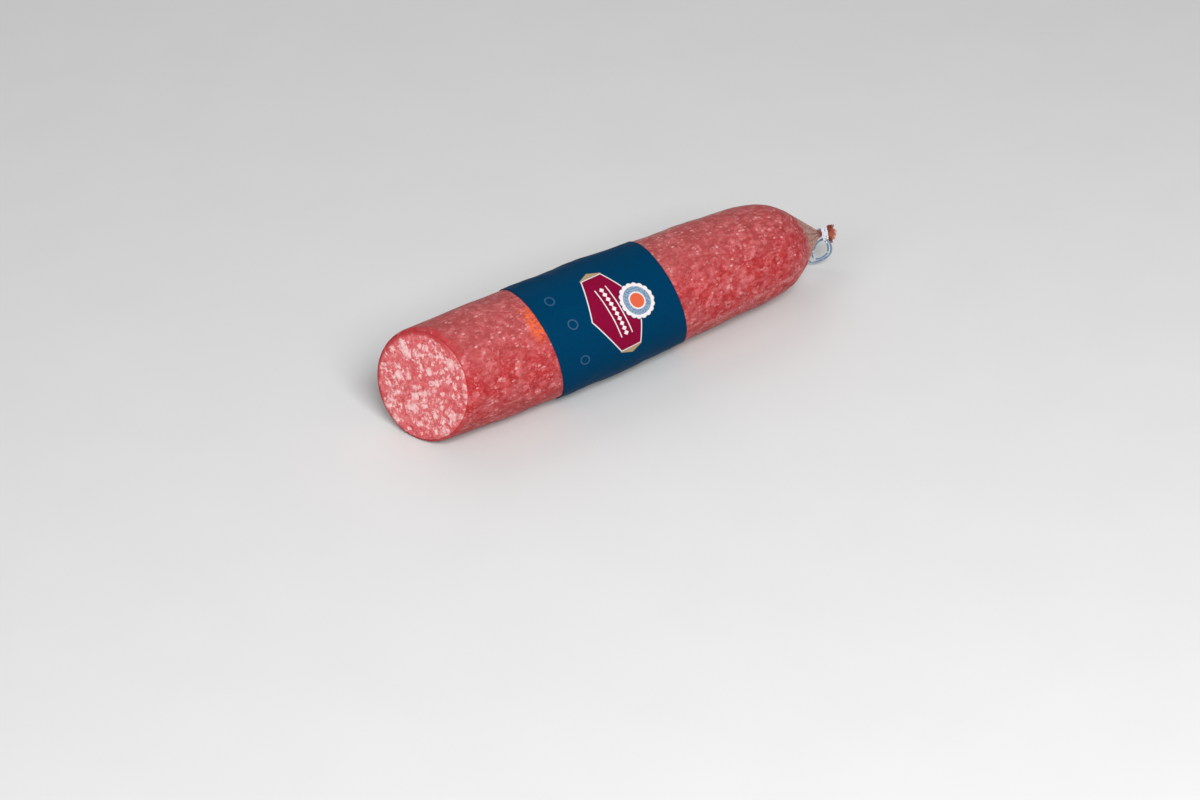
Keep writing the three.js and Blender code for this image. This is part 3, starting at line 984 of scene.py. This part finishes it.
class SAUSAGE_OT_binding(bpy.types.Operator):
    """Makes the turns of twine round the neck, and the knot in front of them"""

    bl_idname = "sausage.binding"
    bl_label = "Binding"

    NECK_GAP = 0.16 * MM
    STATIONS_PER_TURN = 60
    FIRST_TURN_AT = math.radians(200)
    KNOT_SIZE = 0.55 * MM
    KNOT_STATIONS = 150
    KNOT_OUT = 0.9 * MM
    KNOT_SIDE = (0.78, 0.62)

    def execute(self, context):
        settings = context.scene.sausage
        diameter = settings.sizes.twine_diameter
        middle, along, across, up = neck_directions()
        wraps = settings.sizes.wraps
        count = wraps * self.STATIONS_PER_TURN
        turn = np.linspace(0, wraps, count)
        angle = 2 * math.pi * turn + self.FIRST_TURN_AT
        reach = outline_radius(NECK) + self.NECK_GAP + diameter / 2
        step = (turn - wraps / 2) * diameter * 0.98
        wobble = 0.06 * MM * np.sin(3.1 * angle)
        path = (
            middle
            + (step + wobble)[:, None] * along
            + reach * np.sin(angle)[:, None] * across
            - reach * np.cos(angle)[:, None] * up
        )
        wound = twisted_tube(path, diameter, along)

        # A small overhand knot, as a trefoil on its side in front of the wraps.
        lap = np.linspace(0, 1, self.KNOT_STATIONS)
        theta = 2 * math.pi * lap + 0.6
        flat_x = self.KNOT_SIZE * (np.sin(theta) + 1.6 * np.sin(2 * theta))
        flat_y = self.KNOT_SIZE * (np.cos(theta) - 1.6 * np.cos(2 * theta))
        depth = 0.5 * MM * np.sin(3 * theta)
        outward = -(self.KNOT_SIDE[0] * across + self.KNOT_SIDE[1] * up)
        knot_middle = middle + self.KNOT_OUT * along + (reach + self.KNOT_OUT) * outward
        beside = np.cross(along, outward)
        knot = (
            knot_middle
            + flat_x[:, None] * along
            + flat_y[:, None] * beside
            + depth[:, None] * outward
        )
        tied = twisted_tube(knot, diameter * 0.9, outward)
        points = np.concatenate([wound[0], tied[0]])
        faces = wound[1] + [group + len(wound[0]) for group in tied[1]]
        uv = np.concatenate([wound[2], tied[2]])
        material = twine_material("Bleached twine", settings.colours, dyed=0.36)
        piece = new_piece("twine_binding", points, faces, material, uv)
        place_piece(piece, "neck_binding")
        return {"FINISHED"}


class SAUSAGE_OT_casing(bpy.types.Operator):
    """Makes the casing, from the cut to its pleated tail beyond the binding"""

    bl_idname = "sausage.casing"
    bl_label = "Casing"

    COLUMNS = 256
    TAIL_START = 243.6 * MM
    TAIL_LENGTH = 5.0 * MM
    TAIL_ROWS = 18
    TAIL_FOLDS = 6
    LINING_END = 226 * MM
    LINING_POLE = 229 * MM
    OUTER_ROWS = MM * np.concatenate([
        np.linspace(0, 4, 12, endpoint=False),
        np.linspace(4, 192, 128, endpoint=False),
        np.linspace(192, 243.6, 104),
    ])

    # Where the finish changes. The turns are in radians from underneath.
    GATHERED = (211 * MM, 229 * MM)
    # Painted sheen: the tan along the upper back side fades in and out between these turns.
    SHEEN_FROM = (math.radians(105), math.radians(128))
    SHEEN_TO = (math.radians(156), math.radians(173))
    # Painted highlight along a crease: where it lies round the casing, and how fast it climbs.
    CREASE_HIGHLIGHT_AT = math.radians(-60)
    CREASE_HIGHLIGHT_CLIMB = 5.0
    SMEAR_AT = math.radians(-143)
    SMEAR_WIDTH = 9 * MM
    # Painted shade all round, just in front of the binding.
    NECK_SHADE = (234 * MM, 239.5 * MM)

    def execute(self, context):
        settings = context.scene.sausage
        sizes = settings.sizes
        angle = np.linspace(0, 2 * math.pi, self.COLUMNS, endpoint=False)[None, :]
        outer = self.OUTER_ROWS[:, None]
        body = self.body_points(outer, angle, sizes)
        tail, tail_in, tail_pole, tail_share = self.tail_points(angle)
        beyond = np.linspace(SIDE_ROWS[-1], self.LINING_END, 7)[1:]
        lining = np.concatenate([SIDE_ROWS, beyond])[::-1, None]
        inner = self.body_points(lining, angle, sizes, depth=sizes.casing_thickness)
        inner_pole = np.array(middle_line(self.LINING_POLE)).reshape(1, 1, 3)
        grid = np.concatenate([inner, body, tail, tail_in])
        rows = len(grid)
        points = np.concatenate([grid.reshape(-1, 3), inner_pole[0], tail_pole])
        faces = [
            ring_faces(rows, self.COLUMNS),
            fan_faces(rows * self.COLUMNS, 0, self.COLUMNS, flip=True),
            fan_faces(rows * self.COLUMNS + 1, (rows - 1) * self.COLUMNS, self.COLUMNS),
        ]
        values = self.surface_values(lining, outer, angle, tail_share, sizes)
        material = casing_material(settings.colours)
        piece = new_piece("sausage_casing", points, faces, material, values=values)
        place_piece(piece, "casing")
        return {"FINISHED"}

    def body_points(self, along, angle, sizes, depth=0.0):
        """The casing over the meat: the lumpy skin, rounded over at the cut by part of a circle,
        creased along the lower side, pleated towards the neck and pressed in under the band."""
        radius = skin_radius(along, angle, sizes.lump_height)
        radius = radius - lip_drop(along, sizes.roundness) + creases(along, angle)
        radius = radius + self.pleats(along, angle, sizes)[0]
        under = BAND_LEAN[1] * -MIDDLE_HEIGHT
        pressed = smooth_step(along, BAND_START + under - 2 * MM, BAND_START + under - 1 * MM)
        pressed = pressed * smooth_step(
            -along, -(BAND_END + under + 2 * MM), -(BAND_END + under + 1 * MM)
        )
        return log_points(along, angle, radius - depth, floor=(0.05 + 0.4 * pressed) * MM + depth)

    def pleats(self, along, angle, sizes):
        """Pleats that deepen towards the neck. Each is a round ridge between two sharp furrows, an
        arch of a sine whose phase wanders, so that no two are alike. Gives their height, and how
        deep in a furrow each point is, which is used to paint shade in the furrows."""
        phase = sizes.pleats * angle / 2 + 0.9 * np.sin(angle + 0.4) + 0.6 * np.sin(3 * angle)
        phase = phase + 0.5 * np.sin(2 * angle + along / (11 * MM))
        arch = np.abs(np.sin(phase))
        grown = smooth_step(along, 202 * MM, 230 * MM)
        deepest = np.minimum(sizes.pleat_depth, 0.2 * outline_radius(along))
        furrow = smooth_step(-arch, -0.45, 0.0) * smooth_step(along, 214 * MM, 236 * MM)
        return grown * deepest * (arch - 0.64), furrow

    def tail_points(self, angle):
        """The tail beyond the binding: its middle line bends downwards, its sections turn less than
        that line does, and round it the skin opens out in folds to a ragged rim. The radius is a
        cone's times one plus cosines of the angle. Then the inside runs back to a hollow. Gives
        the points outside and inside, the pole that closes the hollow, and each row's share."""
        share = np.linspace(0, 1, self.TAIL_ROWS + 1)
        yaw = np.radians(14 * share)

        def pointing(pitch):
            return np.stack([
                np.cos(pitch) * np.cos(yaw), -np.cos(pitch) * np.sin(yaw), -np.sin(pitch),
            ], axis=-1)

        heading = pointing(np.radians(4 + 6 * share))
        across = np.stack([np.sin(yaw), np.cos(yaw), 0 * yaw], axis=-1)
        above = np.cross(heading, across)
        step = pointing(np.radians(16 + 30 * share)) * self.TAIL_LENGTH / self.TAIL_ROWS
        start = np.array(middle_line(self.TAIL_START))
        centre = start + np.concatenate([np.zeros((1, 3)), np.cumsum(step[:-1], axis=0)])
        ragged = np.sin(3 * angle + 1.0) + 0.7 * np.sin(7 * angle) + 0.5 * np.sin(13 * angle)
        column = share[:, None]
        folds = np.cos(self.TAIL_FOLDS * angle + 0.9 * np.sin(2 * angle))
        folds = folds + 0.4 * np.cos(11 * angle + 3 * column) + 0.2 * np.cos(19 * angle)
        radius = (1.75 + 2.7 * smooth_step(column, 0.0, 0.8)) * MM
        wave = column**0.8 * 0.2 * folds
        run = column**3 * 0.55 * MM * ragged

        def skin(depth, rows):
            reach = (radius * (1 + wave) - depth)[rows]
            return (
                centre[rows, None, :]
                + (reach * np.sin(angle))[..., None] * 0.8 * across[rows, None, :]
                - (reach * np.cos(angle))[..., None] * above[rows, None, :]
                + run[rows][..., None] * heading[rows, None, :]
            )

        rows = np.arange(1, self.TAIL_ROWS + 1)
        inside = rows[::-1][rows[::-1] > self.TAIL_ROWS // 4]
        pole = (centre[inside[-1]] - heading[inside[-1]] * 0.3 * MM).reshape(1, 3)
        outer, inner = skin(0.0, rows), skin(0.3 * MM, inside)
        return outer, inner, pole, np.concatenate([share[rows], share[inside] * 0.5])

    def surface_values(self, lining, outer, angle, tail_share, sizes):
        """Numbers over the skin for the finish: how near the cut it is, how gathered at the neck and
        how tan along the upper back side as painted sheen, the painted highlight along a crease, the
        painted shade in the furrows and in front of the binding, the orange smear, the tail and how
        near its rim.
        Each fades in and out by smooth steps in along and angle, and the crease highlight and the
        smear are bell curves round a line."""
        columns = angle.shape[1]
        along = np.concatenate([lining, outer])
        flat = np.zeros((len(along), columns))
        wander = 1 + ripples(0 * angle, angle, RIM_SEED, 8, 11 * MM, 0.25)
        strength = 0.45 + 0.55 * smooth_step(np.cos(angle - UP_AND_BACK), -0.3, 0.4)
        at_cut = strength * smooth_step(-along, -4.5 * MM * wander, -0.5 * MM * wander)
        gathered_and_sheen = smooth_step(along, *self.GATHERED) + flat
        # Painted sheen: tan along the upper back side of the whole length, weaker under the band.
        behind = smooth_step(angle, *self.SHEEN_FROM)
        tan_neck_and_sheen = 0.55 * behind * (1 - smooth_step(angle, *self.SHEEN_TO))
        leant = MEAN_RADIUS * (BAND_LEAN[0] * np.sin(angle) - BAND_LEAN[1] * np.cos(angle))
        beyond = along - BAND_END - leant
        upper = smooth_step(-np.cos(angle + math.radians(20)), 0.0, 0.8)
        tan_neck_and_sheen = np.maximum(tan_neck_and_sheen, 0.45 * upper * smooth_step(-beyond, -7 * MM, 0))
        tan_neck_and_sheen = tan_neck_and_sheen * (0.3 + 0.7 * smooth_step(beyond, -2 * MM, -1 * MM))
        gathered_and_sheen = np.maximum(gathered_and_sheen, tan_neck_and_sheen)
        # Painted highlight along a crease low on the near side, climbing round towards the neck.
        climb = (along - 140 * MM) * self.CREASE_HIGHLIGHT_CLIMB
        off = np.angle(np.exp(1j * (angle - self.CREASE_HIGHLIGHT_AT + climb))) * MEAN_RADIUS
        crease_highlight = np.exp(-((off / (1.6 * MM)) ** 2)) * smooth_step(along, 134 * MM, 150 * MM)
        crease_highlight = 0.6 * crease_highlight * smooth_step(-along, -226 * MM, -205 * MM)
        off = np.angle(np.exp(1j * (angle - self.SMEAR_AT))) * BAND_RADIUS
        edge = BAND_START + (BAND_LEAN[1] - BAND_LEAN[0]) * 20 * MM
        smear = np.exp(-((off / self.SMEAR_WIDTH) ** 4))
        smear = smear * smooth_step(along, edge - 9 * MM, edge - 3 * MM)
        smear = smear * smooth_step(-along, -edge - 12 * MM, -edge - 6 * MM)
        # Painted shade: in the pleats' furrows, and all round just in front of the binding.
        furrow = self.pleats(along, angle, sizes)[1]
        furrow = np.maximum(furrow, 0.85 * smooth_step(along, *self.NECK_SHADE))
        share = np.repeat(tail_share, columns)

        def whole(body, tail, tail_pole):
            return np.concatenate([body.ravel(), tail, [0.0, tail_pole]])

        return {
            "at_cut": whole(at_cut, 0 * share, 0.0),
            "gathered_and_sheen": whole(gathered_and_sheen, np.ones_like(share), 1.0),
            "painted_crease_highlight": whole(crease_highlight, 0 * share, 0.0),
            "orange_smear": whole(smear + flat, 0 * share, 0.0),
            "furrow": whole(furrow + flat, 0 * share, 0.0),
            "tail": whole(flat, np.ones_like(share), 1.0),
            "tail_rim": whole(flat, share, 0.0),
        }


class SAUSAGE_OT_meat(bpy.types.Operator):
    """Makes the meat inside the casing, with its cut face"""

    bl_idname = "sausage.meat"
    bl_label = "Meat"

    COLUMNS = 256
    FACE_ROWS = 84
    PROUD = 0.5 * MM
    FLOOR_GAP = 0.55 * MM
    LINING_GAP = 0.04 * MM

    def execute(self, context):
        settings = context.scene.sausage
        sizes = settings.sizes
        angle = np.linspace(0, 2 * math.pi, self.COLUMNS, endpoint=False)[None, :]
        gap = sizes.casing_thickness + self.LINING_GAP
        face, rim = self.face_points(angle, gap, sizes)
        # The first of the side's rows is the rim, which the face already has.
        along = SIDE_ROWS[1:, None]
        radius = skin_radius(along, angle, sizes.lump_height) - lip_drop(along, sizes.roundness)
        radius = radius + creases(along, angle) - gap
        radius = radius - 0.2 * MM * smooth_step(along, 2 * MM, 20 * MM)
        side = log_points(along, angle, radius, floor=self.FLOOR_GAP + gap)
        middle = np.array(middle_line(0.0)).reshape(1, 3) - (self.PROUD, 0, 0)
        tip = np.array(middle_line(SIDE_ROWS[-1] + 4 * MM)).reshape(1, 3)
        grid = np.concatenate([face, side])
        rows = len(grid)
        points = np.concatenate([grid.reshape(-1, 3), middle, tip])
        faces = [
            ring_faces(rows, self.COLUMNS),
            fan_faces(rows * self.COLUMNS, 0, self.COLUMNS, flip=True),
            fan_faces(rows * self.COLUMNS + 1, (rows - 1) * self.COLUMNS, self.COLUMNS),
        ]
        side_rim = np.ones((len(side), self.COLUMNS))
        values = {"rim": np.concatenate([rim.ravel(), side_rim.ravel(), [0.0, 1.0]])}
        material = meat_material(settings.colours)
        piece = new_piece("cured_meat", points, faces, material, values=values)
        place_piece(piece, "sausage_meat")
        return {"FINISHED"}

    def face_points(self, angle, gap, sizes):
        """The cut face: rings that grow from the middle to the rim, standing a little proud in low
        lumps of short waves, and rounded over at the rim by a quarter of an ellipse inside the
        casing's lip."""
        share = np.linspace(0, 1, self.FACE_ROWS + 1)[1:, None]
        share = 1 - (1 - share) ** 1.35
        cut = np.zeros((1, 1))
        whole = skin_radius(cut, angle, 0.0) - lip_drop(cut, sizes.roundness) - gap
        radius = whole * share
        to_rim = (1 - share) * whole
        over = np.clip(1 - to_rim / (1.6 * self.PROUD), 0, 1)
        along = -self.PROUD * np.sqrt(1 - over**2)
        across, up = radius * np.sin(angle), -radius * np.cos(angle)
        relief = np.zeros_like(across)
        dice = np.random.default_rng(21)
        for length, height in ((7.0, 0.10), (3.4, 0.07), (1.9, 0.035)):
            for _ in range(6):
                heading = dice.uniform(0, math.pi)
                rate = 2 * math.pi / (length * MM * dice.uniform(0.8, 1.25))
                run = across * math.cos(heading) + up * math.sin(heading)
                relief += height * MM * np.sin(rate * run + dice.uniform(0, 2 * math.pi)) / 2.4
        along = along + relief * smooth_step(to_rim, 0.2 * MM, 1.5 * MM) * share**0.5
        wander = ripples(0 * angle, angle, RIM_SEED, 8, 11 * MM, 0.25) * MM
        strength = 0.3 + 0.7 * smooth_step(np.cos(angle - UP_AND_BACK), -0.3, 0.4)
        rim = strength * smooth_step(-to_rim, -2.6 * MM + wander, -0.5 * MM + wander)
        points = log_points(along * 0, angle, radius, floor=self.FLOOR_GAP + gap, lean=CUT_LEAN)
        points[..., 0] += along
        return points, rim


class SAUSAGE_OT_band(bpy.types.Operator):
    """Makes the printed band round the sausage"""

    bl_idname = "sausage.band"
    bl_label = "Band"

    ROWS = 60
    COLUMNS = 260
    CLEARANCE = 0.14 * MM
    SEAM = math.radians(42)
    OVERLAP = math.radians(14)

    def execute(self, context):
        settings = context.scene.sausage
        sizes = settings.sizes
        thickness = sizes.band_thickness
        along = np.linspace(BAND_START, BAND_END, self.ROWS)[:, None]
        angle = np.linspace(self.SEAM, self.SEAM + 2 * math.pi + self.OVERLAP, self.COLUMNS)[None, :]
        reach = outline_radius(along)
        leant = reach * (BAND_LEAN[0] * np.sin(angle) - BAND_LEAN[1] * np.cos(angle))
        base = skin_radius(along + leant, angle, sizes.lump_height) + self.CLEARANCE
        out_of = (angle[0, -1] - angle) / self.OVERLAP
        lift = thickness * 1.15 * smooth_step(1.35 - out_of, 0, 0.35)
        edges = np.minimum(along - BAND_START, BAND_END - along)
        flare = 0.06 * MM * (1 - smooth_step(edges, 0, 2 * MM))
        skins = []
        for depth, floor in ((thickness, 0.03 * MM), (0.0, 0.03 * MM + thickness)):
            radius = base + lift + flare + depth
            skins.append(log_points(along + leant, angle, radius, floor=floor))
        points = np.concatenate([skins[0], skins[1][::-1]])
        rows = 2 * self.ROWS
        columns = self.COLUMNS
        row = np.arange(rows)[:, None]
        column = np.arange(columns - 1)[None, :]
        after = (row + 1) % rows
        corners = (
            row * columns + column, row * columns + column + 1,
            after * columns + column + 1, after * columns + column,
        )
        strip = np.stack(np.broadcast_arrays(*corners), axis=-1).reshape(-1, 4)
        level = np.arange(self.ROWS - 1)
        ends = []
        for at, flip in ((0, True), (columns - 1, False)):
            opposite = rows - 1 - level
            end = np.stack([
                level * columns + at, opposite * columns + at,
                (opposite - 1) * columns + at, (level + 1) * columns + at,
            ], axis=-1)
            ends.append(end[:, ::-1] if flip else end)
        faces = [strip] + ends
        arc = (angle - 2 * math.pi) * BAND_RADIUS
        uv = np.stack(np.broadcast_arrays(arc, along), axis=-1) / (MM * MAP_MM)
        uv = np.concatenate([uv, uv[::-1]])
        material = band_material(settings.colours)
        piece = new_piece("printed_band", points, faces, material, uv)
        place_piece(piece, "label_band")
        return {"FINISHED"}


class SausageSettings(bpy.types.PropertyGroup):
    """Everything a user may change."""

    sizes: PointerProperty(type=SausageSizes)
    colours: PointerProperty(type=SausageColours)


class SAUSAGE_PT_panel(bpy.types.Panel):
    """Buttons for the pieces, and their sizes and colours"""

    bl_label = "Cured Sausage"
    bl_idname = "SAUSAGE_PT_panel"
    bl_space_type = "VIEW_3D"
    bl_region_type = "UI"
    bl_category = "Sausage"

    def draw(self, context):
        settings = context.scene.sausage
        for operator in PIECE_OPERATORS:
            self.layout.operator(operator.bl_idname)
        for group in (settings.sizes, settings.colours):
            box = self.layout.box()
            for key in group.bl_rna.properties.keys():
                if key not in ("rna_type", "name"):
                    box.prop(group, key)


PIECE_OPERATORS = (
    SAUSAGE_OT_stage,
    SAUSAGE_OT_hanging_loop,
    SAUSAGE_OT_binding,
    SAUSAGE_OT_casing,
    SAUSAGE_OT_meat,
    SAUSAGE_OT_band,
)
CLASSES = (SausageColours, SausageSizes, SausageSettings, *PIECE_OPERATORS, SAUSAGE_PT_panel)


def register():
    for each in CLASSES:
        bpy.utils.register_class(each)
    bpy.types.Scene.sausage = PointerProperty(type=SausageSettings)


def unregister():
    del bpy.types.Scene.sausage
    for each in reversed(CLASSES):
        bpy.utils.unregister_class(each)


def main():
    """Registers everything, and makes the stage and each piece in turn."""
    register()
    bpy.ops.sausage.stage()
    bpy.ops.sausage.hanging_loop()
    bpy.ops.sausage.binding()
    bpy.ops.sausage.casing()
    bpy.ops.sausage.meat()
    bpy.ops.sausage.band()


if __name__ == "__main__":
    main()
